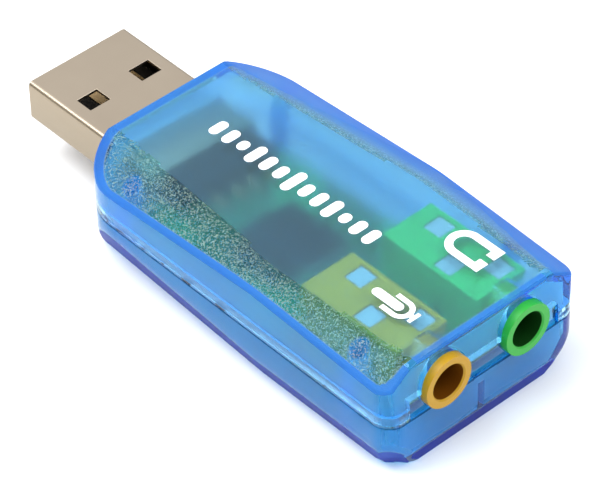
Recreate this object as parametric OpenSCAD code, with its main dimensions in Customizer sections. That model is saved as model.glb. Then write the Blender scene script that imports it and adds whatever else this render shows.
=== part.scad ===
// Usb sound card with a clear two-part case, a type A plug and two 3.5 mm jacks.
// +X runs from the plug to the jacks, +Y to the headphone jack, +Z up.
// The origin is the middle of the bounding box, on the base.

/* [Case] */
// Length of the case without the plug and the jack noses
case_length = 42.3; // [42:0.1:50]
// Width of the case
case_width = 23.2; // [22.4:0.2:28]
// Clearance between the jack bodies and the top wall
head_room = 0.1; // [0.1:0.1:1.5]
// Height of the joint between the two covers above the base
joint_height = 6; // [5.8:0.1:6.2]
// Thickness of the case walls
wall = 1.25; // [0.9:0.05:1.3]
// Corner radius of the plug end, seen from above
plug_corner_r = 5.3; // [3:0.1:6]
// Corner radius of the jack end, seen from above
jack_corner_r = 2; // [1.5:0.1:3]
// Gap between pieces that go into each other
gap = 0.1; // [0.05:0.01:0.15]

/* [Case facets] */
// Distance from the plug end to the crease of the side facets
crease_distance = 24.6; // [20:0.2:28]
// Width of the flat top at the plug end
top_flat_plug = 13.8; // [12:0.2:16]
// Width of the flat top at the crease
top_flat_crease = 17.9; // [17:0.1:19]
// Width of the flat top at the jack end
top_flat_jack = 16.6; // [15:0.1:17.6]
// Drop from the flat top to the upright wall at the plug end
shoulder_drop_plug = 2.6; // [1.5:0.1:2.8]
// Drop from the flat top to the upright wall at the crease
shoulder_drop_crease = 1; // [0.6:0.1:1.2]
// Drop from the flat top to the upright wall at the jack end
shoulder_drop_jack = 1.9; // [1.3:0.1:2.2]
// Width of the flat base at the plug end
base_flat_plug = 18.4; // [17.6:0.1:19]
// Width of the flat base at the crease
base_flat_crease = 20.5; // [19.6:0.1:20.8]
// Width of the flat base at the jack end
base_flat_jack = 20.3; // [19.6:0.1:20.6]
// Rise of the lower side facet at the crease
base_rise_crease = 2.8; // [1.5:0.1:3.2]
// Lean of the jack end wall between the joint and the top
end_lean = 0.5; // [0.2:0.05:0.8]
// Height of the bevel under the jack end
end_bevel_height = 1.9; // [1:0.1:2.2]
// Depth of the bevel under the jack end
end_bevel_depth = 0.45; // [0.2:0.05:0.6]
// Size of the edge bevels at the plug end
plug_end_bevel = 0.3; // [0.2:0.05:0.6]
// Width of the corner facets under the jack end
base_corner_width = 1.9; // [1.2:0.1:2.6]
// Height of the corner facets under the jack end
base_corner_height = 3.2; // [2:0.1:4]

/* [Cover joint] */
// Height of the lip on the bottom cover
lip_height = 0.8; // [0.5:0.1:1]
// Thickness of the lip on the bottom cover
lip_wall = 0.5; // [0.4:0.05:0.5]
// Width of the step in the top cover at the jacks
step_width = 17.9; // [17:0.1:18.4]
// Depth by which the tongue in the step lies behind the end wall
tongue_setback = 0.35; // [0.2:0.05:0.5]
// Radius of the posts that hold the covers together
post_r = 0.9; // [0.8:0.05:0.95]
// Radius of the pin on a top post
pin_r = 0.45; // [0.35:0.05:0.5]
// Length of the pin on a top post
pin_length = 1.7; // [1:0.1:2.4]
// Height of the post shoulders above the joint
post_rise = 0.6; // [0.4:0.1:1]
// Sideways distance of the posts from the middle
post_offset = 9.1; // [9.05:0.05:9.2]
// Distance of the rear posts from the plug end
rear_post_distance = 6.2; // [5.6:0.1:6.8]
// Distance of the front posts from the plug end
front_post_distance = 36.2; // [35:0.2:37]
// Length of the rib under the jacks
rib_length = 9; // [6:0.5:11]
// Thickness of the ribs in the bottom cover
rib_thickness = 0.8; // [0.6:0.1:1]

/* [Plug] */
// Width of the plug shell
plug_width = 12; // [11.9:0.05:12.1]
// Height of the plug shell
plug_height = 4.5; // [4.4:0.05:4.6]
// Sheet thickness of the plug shell
plug_sheet = 0.32; // [0.25:0.01:0.4]
// Edge radius of the plug shell
plug_edge_r = 0.5; // [0.4:0.05:0.7]
// Length of the plug shell outside the case
plug_reach = 13.1; // [12:0.1:16]
// Length of the plug shell inside the case
plug_hidden = 6.1; // [4.5:0.1:6.2]
// Height of the plug axis above the base
plug_axis = 6.4; // [6.3:0.05:6.6]
// Distance of the windows from the plug's mouth
window_distance = 5.2; // [4.8:0.1:5.6]
// Length of a window
window_length = 2; // [1.6:0.1:2.4]
// Width of a window
window_width = 2.4; // [2:0.1:2.8]
// Distance between the middles of the two windows
window_pitch = 6.3; // [5.8:0.1:7]
// Length of the plug's solder legs
leg_length = 2.4; // [1.6:0.1:2.6]
// Thickness of the insulator tongue
tongue_thickness = 1.84; // [1.6:0.02:2]
// Length of the insulator tongue in front of its block
plug_tongue_length = 11.6; // [10:0.1:12]
// Length of the insulator block behind the shell
insulator_tail = 3.6; // [2.6:0.1:3.8]
// Width of a plug contact
contact_width = 1; // [0.8:0.05:1.2]
// Sheet thickness of the contacts
contact_sheet = 0.25; // [0.2:0.01:0.3]
// Distance of the inner plug contacts from the middle
inner_contact = 1; // [0.9:0.05:1.1]
// Distance of the outer plug contacts from the middle
outer_contact = 3.5; // [3.3:0.05:3.7]
// Length of a plug contact's foot on the board
contact_foot = 1.6; // [1.2:0.1:1.8]
// Width of the seam along the underside of the plug shell
seam_width = 0.12; // [0.08:0.01:0.2]

/* [Board] */
// Height of the board's underside above the base
board_height = 4.4; // [4.2:0.05:4.4]
// Thickness of the board
board_thickness = 1.2; // [1:0.05:1.2]
// Width of the board
board_width = 16; // [15.8:0.05:16.1]
// Radius of the holes for the jack pins
pin_hole_r = 0.5; // [0.45:0.05:0.6]

/* [Jacks] */
// Distance between the two jack axes
jack_pitch = 9.54; // [9:0.02:9.8]
// Height of the jack axis above the board
jack_axis_rise = 2.52; // [2.5:0.01:2.52]
// Bore diameter of the jacks
bore_d = 3.6; // [3.5:0.05:3.7]
// Depth of the bore
bore_depth = 14; // [12:0.2:14.4]
// Diameter of the jack nose
nose_d = 5.3; // [5:0.05:5.4]
// Size of the bevel at the mouth of the bore
mouth_bevel = 0.15; // [0.1:0.05:0.3]
// Length of the nose outside the case
nose_proud = 0.4; // [0.2:0.1:0.8]
// Length of the nose from the jack body to its rim
nose_length = 3.4; // [3.2:0.1:3.6]
// Length of the jack body
jack_length = 12; // [11.6:0.1:12.2]
// Width of the jack body
jack_width = 6; // [5.9:0.05:6.2]
// Height of the jack body
jack_height = 4.95; // [4.8:0.01:4.96]
// Length of a contact tab along the jack
tab_length = 2; // [1.6:0.1:2.2]
// Width of a contact tab across the jack
tab_width = 2; // [1.6:0.1:2.1]
// Distance of the sleeve tab from the front of the jack body
sleeve_tab_distance = 1.75; // [1.5:0.05:2]
// Distance of the ring tab from the front of the jack body
ring_tab_distance = 5; // [4.6:0.1:5.4]
// Distance of the tip tab from the front of the jack body
tip_tab_distance = 9.2; // [8.6:0.1:9.6]
// Width of a contact leg
leg_width = 0.8; // [0.6:0.05:0.8]
// Length of the legs below the board
leg_below = 0.8; // [0.6:0.1:1.2]

/* [Board parts] */
// Side of the square audio chip
chip_side = 7; // [6:0.1:7.4]
// Thickness of the audio chip
chip_thickness = 1.4; // [1.2:0.05:1.8]
// Distance between the audio chip and the jack bodies
chip_jack_distance = 4.8; // [1.6:0.1:7]
// Distance of the audio chip's middle from the middle of the board
chip_shift = 2; // [0:0.1:3]
// Reach of the audio chip's leads beyond its sides
lead_reach = 1; // [0.7:0.05:1.1]
// Number of leads on each side of the audio chip
leads_per_side = 12; // [8:1:12]
// Distance between two leads
lead_pitch = 0.5; // [0.4:0.05:0.5]
// Length of the moulded capacitor
capacitor_length = 3.5; // [3:0.1:3.8]
// Width of the moulded capacitor
capacitor_width = 2.8; // [2.4:0.1:3]
// Height of the moulded capacitor
capacitor_height = 1.9; // [1.5:0.1:2.1]
// Diameter of the crystal can
crystal_d = 2; // [1.5:0.1:2.2]
// Length of the crystal can
crystal_length = 6; // [5:0.1:6.4]
// Length of a chip capacitor or resistor
chip_part_length = 1.6; // [1:0.1:1.7]
// Width of a chip capacitor or resistor
chip_part_width = 0.8; // [0.5:0.05:1]
// Distance between two chip capacitors or resistors
chip_part_pitch = 2.1; // [1.6:0.1:2.2]
// Length of the voltage regulator across the board
regulator_length = 2.9; // [2.4:0.1:3]
// Width of the voltage regulator along the board
regulator_width = 1.3; // [1:0.1:1.4]
// Thickness of the voltage regulator
regulator_thickness = 1.05; // [0.8:0.05:1.2]

/* [Print] */
// Thickness of the print on the flat top
print_thickness = 0.06; // [0.04:0.01:0.1]
// Line width of the two marks
mark_line = 0.8; // [0.5:0.05:0.9]
// Outer width of the headphone mark
headphone_mark_width = 3.6; // [3.4:0.1:4.4]
// Length of the headphone mark
headphone_mark_length = 5.1; // [4.6:0.1:5.6]
// Distance from the jack body's front to the headphone mark
headphone_mark_setback = 2.1; // [1.6:0.1:2.6]
// Outer width of the microphone mark
microphone_mark_width = 2.5; // [2.3:0.1:3]
// Length of the microphone mark
microphone_mark_length = 5.3; // [5:0.1:5.8]
// Distance of the middle of the sound wave print from the plug end
bar_print_distance = 17.4; // [16.5:0.1:17.6]
// Number of bars in the sound wave print
bar_count = 13; // [7:1:15]
// Distance between two bars
bar_pitch = 1.7; // [1.4:0.1:1.8]
// Width of a bar
bar_width = 1.05; // [0.7:0.05:1.2]
// Length of the longest bar
bar_longest = 3; // [2:0.1:4]

/* [Hidden] */
$fn = 64;

// Stations along X, counted from the plug's mouth
case_rear = plug_reach;
case_front = case_rear + case_length;
overall_length = case_front + nose_proud;
crease_x = case_rear + crease_distance;
shell_end = case_rear + plug_hidden;
jack_front = overall_length - nose_length;
jack_rear = jack_front - jack_length;
board_rear = shell_end + 2 * gap;
nose_root = jack_front - 0.1;
board_front = nose_root - gap;
insulator_end = shell_end + insulator_tail;
contact_drop_x = insulator_end + 2 * gap;
feet_end = contact_drop_x + contact_foot;
parts_rear = feet_end + 0.6;
tongue_start = 0.5;
contact_start = tongue_start + 0.5;
block_start = tongue_start + plug_tongue_length;
rear_post_x = case_rear + rear_post_distance;
front_post_x = case_rear + front_post_distance;

// How far a cut reaches past its piece, and a join into it
past = 1;

// Heights
// The insulator fits into the shell with this gap
shell_fit = 0.04;
board_top = board_height + board_thickness;
jack_axis = board_top + jack_axis_rise;
jack_top = board_top + jack_height;
ceiling = jack_top + head_room;
case_height = ceiling + wall;
plug_low = plug_axis - plug_height / 2;
plug_high = plug_axis + plug_height / 2;
insulator_low = plug_low + plug_sheet + shell_fit;
insulator_high = plug_high - plug_sheet - shell_fit;
tongue_top = insulator_low + tongue_thickness;
contact_low = tongue_top - 0.8 * contact_sheet;
contact_high = contact_low + contact_sheet;

// Half widths and sides
half_width = case_width / 2;
headphone_y = jack_pitch / 2;
microphone_y = -jack_pitch / 2;
contact_rows = [-outer_contact, -inner_contact, inner_contact, outer_contact];
bore_r = bore_d / 2;
leg_outer = tab_width + 0.4;
reach = 80;

// Corner points of the facets on the headphone side
top_p = [case_rear, top_flat_plug / 2, case_height];
top_c = [crease_x, top_flat_crease / 2, case_height];
top_j = [case_front, top_flat_jack / 2, case_height];
side_p = [case_rear, half_width, case_height - shoulder_drop_plug];
side_c = [crease_x, half_width, case_height - shoulder_drop_crease];
side_j = [case_front, half_width, case_height - shoulder_drop_jack];
base_p = [case_rear, base_flat_plug / 2, 0];
base_c = [crease_x, base_flat_crease / 2, 0];
base_j = [case_front, base_flat_jack / 2, 0];
base_side_c = [crease_x, half_width, base_rise_crease];

// Direction of the plane through three points, turned to the side of the hint
function facing(a, b, c, hint) =
    let (n = cross(b - a, c - a), u = n / norm(n)) u * hint < 0 ? -u : u;

// The base corner facet cuts the flat base between these two points
corner_a = [case_front - end_bevel_depth - base_corner_width, base_flat_jack / 2, 0];
corner_b = [case_front - end_bevel_depth, base_flat_jack / 2 - base_corner_width, 0];
corner_c = [case_front - jack_corner_r * (1 - cos(45)), half_width - jack_corner_r * (1 - cos(45)),
            base_corner_height];
up_and_out = [0, 1, 1];
down_and_out = [0, 1, -1];
side_facets = [
    [top_c, facing(top_p, top_c, side_c, up_and_out)],
    [side_c, facing(top_p, side_c, side_p, up_and_out)],
    [top_c, facing(top_c, side_c, top_j, up_and_out)],
    [side_c, facing(side_c, top_j, side_j, up_and_out)],
    [base_c, facing(base_p, base_c, base_side_c, down_and_out)],
    [base_c, facing(base_c, base_j, base_side_c, down_and_out)],
    [corner_a, facing(corner_a, corner_b, corner_c, down_and_out)]
];
lean_angle = atan(end_lean / (case_height - joint_height));
bevel_angle = atan(end_bevel_depth / end_bevel_height);
end_facets = [
    [[case_front, 0, joint_height], [cos(lean_angle), 0, sin(lean_angle)]],
    [[case_front, 0, end_bevel_height], [cos(bevel_angle), 0, -sin(bevel_angle)]],
    [[case_rear, 0, case_height - plug_end_bevel], [-sin(45), 0, sin(45)]],
    [[case_rear, 0, plug_end_bevel], [-sin(45), 0, -sin(45)]]
];

// Moves the device so that the origin is at its middle
module seat() {
    translate([-overall_length / 2, 0, 0]) children();
}

// Copies a shape to the other side
module both_sides() {
    children();
    mirror([0, 1, 0]) children();
}

// Everything beyond the plane through p with outward direction n
module beyond(p, n, inset) {
    translate(p - n * inset)
        rotate([0, acos(n.z), atan2(n.y, n.x)])
            translate([-reach, -reach, 0])
                cube([2 * reach, 2 * reach, reach]);
}

// What lies outside a rounded corner that points to +X and +Y
module corner_waste(r, inset, z0, z1) {
    difference() {
        translate([0, 0, z0 - past]) cube([r + past, r + past, z1 - z0 + 2 * past]);
        translate([0, 0, z0 - 2 * past]) cylinder(r = r - inset, h = z1 - z0 + 4 * past);
    }
}

// Upright block with the case's rounded outline
module outline_block(inset, z0, z1) {
    difference() {
        translate([case_rear + inset, -half_width + inset, z0])
            cube([case_length - 2 * inset, case_width - 2 * inset, z1 - z0]);
        both_sides() {
            translate([case_front - jack_corner_r, half_width - jack_corner_r, 0])
                corner_waste(jack_corner_r, inset, z0, z1);
            translate([case_rear + plug_corner_r, half_width - plug_corner_r, 0])
                mirror([1, 0, 0]) corner_waste(plug_corner_r, inset, z0, z1);
        }
    }
}

// The case as a solid, with every face moved inwards by the inset
module case_solid(inset) {
    difference() {
        outline_block(inset, inset, case_height - inset);
        both_sides()
            for (f = side_facets) beyond(f[0], f[1], inset);
        for (f = end_facets) beyond(f[0], f[1], inset);
    }
}

// The slice of the hollow case between two heights
module case_slice(z0, z1) {
    difference() {
        intersection() {
            case_solid(0);
            translate([case_rear - past, -half_width - past, z0])
                cube([case_length + 2 * past, case_width + 2 * past, z1 - z0]);
        }
        case_solid(wall);
    }
}

// Straight block between two corners
module block(a, b) {
    translate(a) cube(b - a);
}

// Rod along X
module rod_x(r, x0, x1, y, z) {
    translate([x0, y, z]) rotate([0, 90, 0]) cylinder(r = r, h = x1 - x0);
}

// Bar along X with rounded edges
module rounded_bar(x0, x1, w, h, r, z) {
    difference() {
        block([x0, -w / 2, z - h / 2], [x1, w / 2, z + h / 2]);
        both_sides()
            for (s = [-1, 1])
                translate([0, 0, z]) mirror([0, 0, s < 0 ? 1 : 0])
                    difference() {
                        block([x0 - past, w / 2 - r, h / 2 - r], [x1 + past, w / 2 + past, h / 2 + past]);
                        rod_x(r, x0 - 2 * past, x1 + 2 * past, w / 2 - r, h / 2 - r);
                    }
    }
}

// The opening that the plug goes through
module plug_opening() {
    block([case_rear - past, -plug_width / 2 - gap, plug_low - gap],
          [case_rear + wall + past, plug_width / 2 + gap, plug_high + gap]);
}

// The openings that the jack noses go through
module nose_openings() {
    for (y = [microphone_y, headphone_y])
        rod_x(nose_d / 2 + gap, nose_root - gap, case_front + past, y, jack_axis);
}

// The four places of the posts
module at_posts() {
    for (x = [rear_post_x, front_post_x])
        both_sides() translate([x, post_offset, 0]) children();
}

module top_cover() {
    post_low = joint_height + post_rise + gap / 2;
    color("#5aa6ec", 0.55) seat() difference() {
        union() {
            case_slice(joint_height, case_height);
            intersection() {
                at_posts() translate([0, 0, post_low])
                    cylinder(r = post_r, h = case_height - post_low);
                case_solid(wall / 2);
            }
            at_posts() translate([0, 0, post_low - pin_length])
                cylinder(r = pin_r, h = pin_length + 0.5);
        }
        difference() {
            outline_block(wall - lip_wall - gap, joint_height - past, joint_height + lip_height + gap);
            outline_block(wall, joint_height - 2 * past, joint_height + lip_height + past);
        }
        block([case_front - wall - past, -step_width / 2, joint_height - past],
              [case_front + past, step_width / 2, jack_axis]);
        plug_opening();
        nose_openings();
    }
}

module bottom_cover() {
    post_top = joint_height + post_rise;
    pillar_x = [parts_rear + 0.8, jack_rear - 2 * post_r];
    pillar_y = board_width / 2 - 1.5;
    rest_x = case_rear + 2 * wall;
    root = 0.05;
    color("#4f93e6", 0.55) seat() difference() {
        union() {
            case_slice(0, joint_height);
            difference() {
                outline_block(wall - lip_wall, joint_height - wall, joint_height + lip_height);
                outline_block(wall, joint_height - wall - past, joint_height + lip_height + past);
            }
            block([case_front - wall, -step_width / 2 + gap, joint_height - wall],
                  [case_front - tongue_setback, step_width / 2 - gap, jack_axis - gap]);
            at_posts() translate([0, 0, wall - root])
                cylinder(r = post_r, h = post_top - wall + root);
            both_sides() for (x = pillar_x)
                translate([x, pillar_y, wall - root])
                    cylinder(r = post_r, h = board_height - wall + root);
            block([case_front - rib_length, -rib_thickness / 2, wall - root],
                  [case_front - wall / 2, rib_thickness / 2, board_height]);
            block([rest_x, -plug_width / 2 + plug_edge_r, wall - root],
                  [rest_x + rib_thickness, plug_width / 2 - plug_edge_r, plug_low]);
        }
        at_posts() translate([0, 0, post_top - pin_length - 0.5])
            cylinder(r = pin_r + gap / 2, h = pin_length + past);
        plug_opening();
        nose_openings();
    }
}

module usb_shell() {
    inner_r = plug_edge_r - 0.8 * plug_sheet;
    side = plug_width / 2;
    leg_rear = shell_end + 0.6;
    leg_front = shell_end + leg_length;
    color("#c9bfae") seat() {
        difference() {
            rounded_bar(0, shell_end, plug_width, plug_height, plug_edge_r, plug_axis);
            rounded_bar(-1, shell_end + past, plug_width - 2 * plug_sheet,
                        plug_height - 2 * plug_sheet, inner_r, plug_axis);
            for (y = [-window_pitch / 2, window_pitch / 2])
                block([window_distance, y - window_width / 2, plug_low - past],
                      [window_distance + window_length, y + window_width / 2, plug_high + past]);
            block([-1, -seam_width / 2, plug_low - past],
                  [shell_end + past, seam_width / 2, plug_low + plug_sheet / 2]);
        }
        both_sides()
            block([shell_end - past, side - plug_sheet, plug_axis - past],
                  [leg_front, side, plug_axis + 0.8]);
        both_sides()
            block([leg_rear, side - plug_sheet, board_height - leg_below], [leg_front, side, plug_axis]);
    }
}

module usb_insulator() {
    inner_half = plug_width / 2 - plug_sheet - shell_fit;
    tongue_half = inner_half - 0.3;
    block_half = inner_half - 0.2;
    tail_half = inner_half - 0.4;
    block_high = insulator_high - gap;
    color("#23262b") seat() difference() {
        union() {
            block([tongue_start, -tongue_half, insulator_low], [block_start + past, tongue_half, tongue_top]);
            block([block_start, -block_half, insulator_low + gap], [shell_end, block_half, block_high]);
            block([shell_end - past, -tail_half, board_top], [insulator_end, tail_half, block_high]);
        }
        for (y = contact_rows)
            block([contact_start - gap, y - contact_width / 2 - gap / 2, contact_low],
                  [insulator_end + past, y + contact_width / 2 + gap / 2, contact_high + gap / 2]);
    }
}

// One plug contact: strip on the tongue, drop behind the block, foot on the board
module usb_contact(y) {
    w = contact_width / 2;
    drop_end = contact_drop_x + contact_sheet;
    color("#d8b35a") seat() {
        block([contact_start, y - w, contact_low], [drop_end, y + w, contact_high]);
        block([contact_drop_x, y - w, board_top], [drop_end, y + w, contact_high]);
        block([contact_drop_x, y - w, board_top], [feet_end, y + w, board_top + contact_sheet]);
    }
}

// The middles of the contact tabs along X, in the order sleeve, ring, tip
tab_x = [jack_front - sleeve_tab_distance, jack_front - ring_tab_distance,
         jack_front - tip_tab_distance];
// The side of the jack axis on which each leg goes down
tab_side = [1, -1, 1];
// The tabs lie a little below the top of the body
tab_low = jack_top - contact_sheet - 0.07;

module circuit_board() {
    color("#1f7a52") seat() difference() {
        block([board_rear, -board_width / 2, board_height], [board_front, board_width / 2, board_top]);
        both_sides()
            block([board_rear - past, plug_width / 2 - plug_sheet - gap, board_height - past],
                  [shell_end + leg_length + gap, plug_width / 2 + gap, board_top + past]);
        for (y = [microphone_y, headphone_y], i = [0:2])
            translate([tab_x[i], y + tab_side[i] * (leg_outer - contact_sheet / 2), board_height - past])
                cylinder(r = pin_hole_r, h = board_thickness + 2 * past);
    }
}

// Small sizes of the board parts
chip_standoff = 0.1;
lead_width = 0.22;
lead_sheet = 0.15;
lead_knee = 0.3;
capacitor_tab_sheet = 0.12;
capacitor_tab_width = 2;
capacitor_tab_foot = 0.8;
capacitor_bevel = 0.35;
crystal_lead_r = 0.2;
crystal_lead_half = 0.55;
crystal_lead_bend = 0.8;
regulator_lead_reach = 0.5;
regulator_lead_width = 0.4;
regulator_lead_half = 0.95;
cap_length = 0.35;
cap_edge = 0.02;

// Places of the board parts
board_margin = 0.2;
chip_x = jack_rear - chip_jack_distance - chip_side / 2;
regulator_x = parts_rear + regulator_lead_reach + regulator_width / 2;
capacitor_x = regulator_x + regulator_width / 2 + regulator_lead_reach + 0.6 + capacitor_length / 2;
crystal_x = jack_rear - 0.4 - crystal_d / 2;
power_part_y = board_width / 8;
chip_part_y = -board_width / 4;

// Turns what stands on the board over to its underside
module under_board() {
    translate([0, 0, board_height + board_top]) mirror([0, 0, 1]) children();
}

// Shape that stands on the board at the audio chip's middle
module at_chip() {
    seat() translate([chip_x, -chip_shift, board_top]) children();
}

module audio_chip() {
    half = chip_side / 2;
    color("#1d1f22") at_chip()
        block([-half, -half, chip_standoff], [half, half, chip_standoff + chip_thickness]);
}

module audio_chip_leads() {
    first = -(leads_per_side - 1) * lead_pitch / 2 - lead_width / 2;
    shoulder_low = chip_standoff + chip_thickness / 2;
    shoulder_high = shoulder_low + lead_sheet;
    side = chip_side / 2;
    knee = side + lead_knee;
    color("#c8ccd0") at_chip()
        for (turn = [0:90:270], i = [0:leads_per_side - 1])
            rotate([0, 0, turn]) translate([first + i * lead_pitch, 0, 0]) {
                block([0, side, shoulder_low], [lead_width, knee, shoulder_high]);
                block([0, knee - lead_sheet, 0], [lead_width, knee, shoulder_high]);
                block([0, knee - lead_sheet, 0], [lead_width, side + lead_reach, lead_sheet]);
            }
}

module crystal() {
    color("#d2d5d8") seat() under_board()
        translate([crystal_x, -crystal_length / 2, board_top + crystal_d / 2])
            rotate([-90, 0, 0]) cylinder(d = crystal_d, h = crystal_length);
}

module crystal_leads() {
    bend_y = -crystal_length / 2 - crystal_lead_bend;
    color("#c8ccd0") seat() under_board()
        for (s = [-1, 1]) translate([crystal_x + s * crystal_lead_half, bend_y, board_top]) {
            translate([0, 0, crystal_d / 2]) rotate([-90, 0, 0])
                cylinder(r = crystal_lead_r, h = crystal_lead_bend);
            cylinder(r = crystal_lead_r, h = crystal_d / 2 + crystal_lead_r);
        }
}

// Moulded block with one bevelled edge that marks its plus end
module capacitor() {
    half = capacitor_length / 2;
    side = capacitor_width / 2;
    color("#c98a2b") seat() under_board() translate([capacitor_x, power_part_y, board_top]) difference() {
        block([-half, -side, capacitor_tab_sheet], [half, side, capacitor_height]);
        translate([-half, 0, capacitor_height]) rotate([0, 45, 0])
            cube([capacitor_bevel, capacitor_width + past, capacitor_bevel], center = true);
    }
}

module capacitor_leads() {
    half = capacitor_length / 2;
    w = capacitor_tab_width / 2;
    color("#c8ccd0") seat() under_board() translate([capacitor_x, power_part_y, board_top])
        for (turn = [0, 180]) rotate([0, 0, turn]) {
            block([half - capacitor_tab_foot, -w, 0], [half + capacitor_tab_sheet, w, capacitor_tab_sheet]);
            block([half, -w, 0], [half + capacitor_tab_sheet, w, capacitor_height / 2]);
        }
}

module voltage_regulator() {
    color("#1d1f22") seat() under_board() translate([regulator_x, power_part_y, board_top])
        block([-regulator_width / 2, -regulator_length / 2, chip_standoff / 2],
              [regulator_width / 2, regulator_length / 2, chip_standoff / 2 + regulator_thickness]);
}

// One regulator lead at the side towards +X, its middle at y
module regulator_lead(y) {
    inner = regulator_width / 2;
    block([inner, y - regulator_lead_width / 2, 0],
          [inner + regulator_lead_reach, y + regulator_lead_width / 2, regulator_lead_width]);
}

module regulator_leads() {
    color("#c8ccd0") seat() under_board() translate([regulator_x, power_part_y, board_top]) {
        regulator_lead(0);
        mirror([1, 0, 0]) both_sides() regulator_lead(regulator_lead_half);
    }
}

// One chip part: body with two thicker end caps, the n-th of the row
module chip_part(n, height, tint) {
    w = chip_part_width / 2;
    half = chip_part_length / 2;
    x = parts_rear + w + n * chip_part_pitch;
    color(tint) seat() under_board() translate([x, chip_part_y, board_top]) {
        block([-w, -half, cap_edge], [w, half, height - cap_edge]);
        both_sides()
            block([-w - cap_edge, half - cap_length, 0], [w + cap_edge, half, height]);
    }
}

// Jack body with nose and bore, and with a seat and a slot for each contact
module jack_body(y) {
    seat() translate([0, y, 0]) difference() {
        union() {
            block([jack_rear, -jack_width / 2, board_top], [jack_front, jack_width / 2, jack_top]);
            rod_x(nose_d / 2, nose_root, overall_length, 0, jack_axis);
        }
        rod_x(bore_r, overall_length - bore_depth, overall_length + past, 0, jack_axis);
        translate([overall_length - mouth_bevel, 0, jack_axis]) rotate([0, 90, 0])
            cylinder(r1 = bore_r, r2 = bore_r + 2 * mouth_bevel, h = 2 * mouth_bevel);
        for (i = [0:2]) translate([tab_x[i], 0, 0]) mirror([0, tab_side[i] < 0 ? 1 : 0, 0]) {
            block([-tab_length / 2 - gap, leg_outer - tab_width - gap, tab_low],
                  [tab_length / 2 + gap, leg_outer + gap, jack_top + past]);
            block([-leg_width - gap, leg_outer - contact_sheet - gap / 2, board_top - past],
                  [leg_width + gap, leg_outer + gap / 2, tab_low + past]);
        }
    }
}

// One jack contact: tab in the top of the body and leg through the board
module jack_contact(y, i) {
    color("#cfd4da") seat()
        translate([tab_x[i], y, 0]) mirror([0, tab_side[i] < 0 ? 1 : 0, 0]) {
            block([-tab_length / 2, leg_outer - tab_width, tab_low],
                  [tab_length / 2, leg_outer, tab_low + contact_sheet]);
            block([-leg_width, leg_outer - contact_sheet, board_top + gap],
                  [leg_width, leg_outer, tab_low + contact_sheet]);
            block([-leg_width / 2, leg_outer - contact_sheet, board_height - leg_below],
                  [leg_width / 2, leg_outer, board_top + 2 * gap]);
        }
}

// Solder cones around the jack legs under the board
module jack_solder() {
    cone = leg_below - 0.2;
    top_r = pin_hole_r + 0.35;
    color("#b9bec4") seat()
        for (y = [microphone_y, headphone_y], i = [0:2])
            translate([tab_x[i], y, 0]) mirror([0, tab_side[i] < 0 ? 1 : 0, 0]) difference() {
                translate([0, leg_outer - contact_sheet / 2, board_height - cone])
                    cylinder(r1 = leg_width / 2 + gap, r2 = top_r, h = cone);
                block([-leg_width / 2, leg_outer - contact_sheet, board_height - leg_below - past],
                      [leg_width / 2, leg_outer, board_top]);
            }
}

// Solder blocks around the plug's legs under the board
module plug_solder() {
    side = plug_width / 2;
    leg_mid = shell_end + (leg_length + 0.6) / 2;
    color("#b9bec4") seat() both_sides() difference() {
        translate([leg_mid, side - plug_sheet / 2, board_height - leg_below / 2])
            cylinder(r = leg_length / 2, h = leg_below / 2);
        block([shell_end + 0.6, side - plug_sheet, board_height - 2 * past],
              [shell_end + leg_length, side, board_height + past]);
    }
}

// Flat bar with round ends along X, from x0 to x1
module pill_x(x0, x1, y, w, h) {
    block([x0 + w / 2, y - w / 2, 0], [x1 - w / 2, y + w / 2, h]);
    for (x = [x0 + w / 2, x1 - w / 2]) translate([x, y, 0]) cylinder(d = w, h = h);
}

// Flat half ring, open to +X
module half_ring(outer, line, h) {
    difference() {
        cylinder(d = outer, h = h);
        translate([0, 0, -1]) cylinder(d = outer - 2 * line, h = h + 2);
        block([0, -outer, -1], [outer, outer, h + 2]);
    }
}

module headphone_mark() {
    half = headphone_mark_width / 2;
    front = jack_front - headphone_mark_setback;
    arc_x = front - headphone_mark_length + half;
    cup_length = 1;
    cup_width = mark_line + 0.65;
    color("#f4f6f8") seat() translate([0, headphone_y + 0.75, case_height]) {
        translate([arc_x, 0, 0]) half_ring(headphone_mark_width, mark_line, print_thickness);
        both_sides() {
            block([arc_x, half - mark_line, 0], [front, half, print_thickness]);
            block([front - cup_length, half - cup_width, 0], [front, half, print_thickness]);
        }
    }
}

module microphone_mark() {
    half = microphone_mark_width / 2;
    bow_line = 0.65 * mark_line;
    bow_arm = 1.5;
    capsule_width = mark_line + 0.2;
    foot_half = 0.7;
    foot_line = 0.4;
    front = jack_front - 1.4;
    bow_x = front - foot_line - 0.15 - half;
    color("#f4f6f8") seat() translate([0, microphone_y + 0.55, case_height]) {
        pill_x(front - microphone_mark_length, bow_x + 0.15, 0, capsule_width, print_thickness);
        translate([bow_x, 0, 0]) mirror([1, 0, 0])
            half_ring(microphone_mark_width, bow_line, print_thickness);
        both_sides() block([bow_x - bow_arm, half - bow_line, 0], [bow_x, half, print_thickness]);
        block([bow_x + half - bow_line / 2, -bow_line / 2, 0],
              [front - foot_line / 2, bow_line / 2, print_thickness]);
        block([front - foot_line, -foot_half, 0], [front, foot_half, print_thickness]);
    }
}

module sound_bar_print() {
    middle_x = case_rear + bar_print_distance;
    first = -(bar_count - 1) / 2;
    color("#f4f6f8") seat() translate([middle_x, 0.2, case_height])
        for (i = [0:bar_count - 1]) {
            k = first + i;
            length = bar_longest * (0.34 + 0.66 * abs(cos(k * 64)) * (1 - abs(k) / (bar_count + 2)));
            translate([k * bar_pitch, 0, 0]) rotate([0, 0, 90])
                pill_x(-length / 2, length / 2, 0, bar_width, print_thickness);
        }
}

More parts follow.
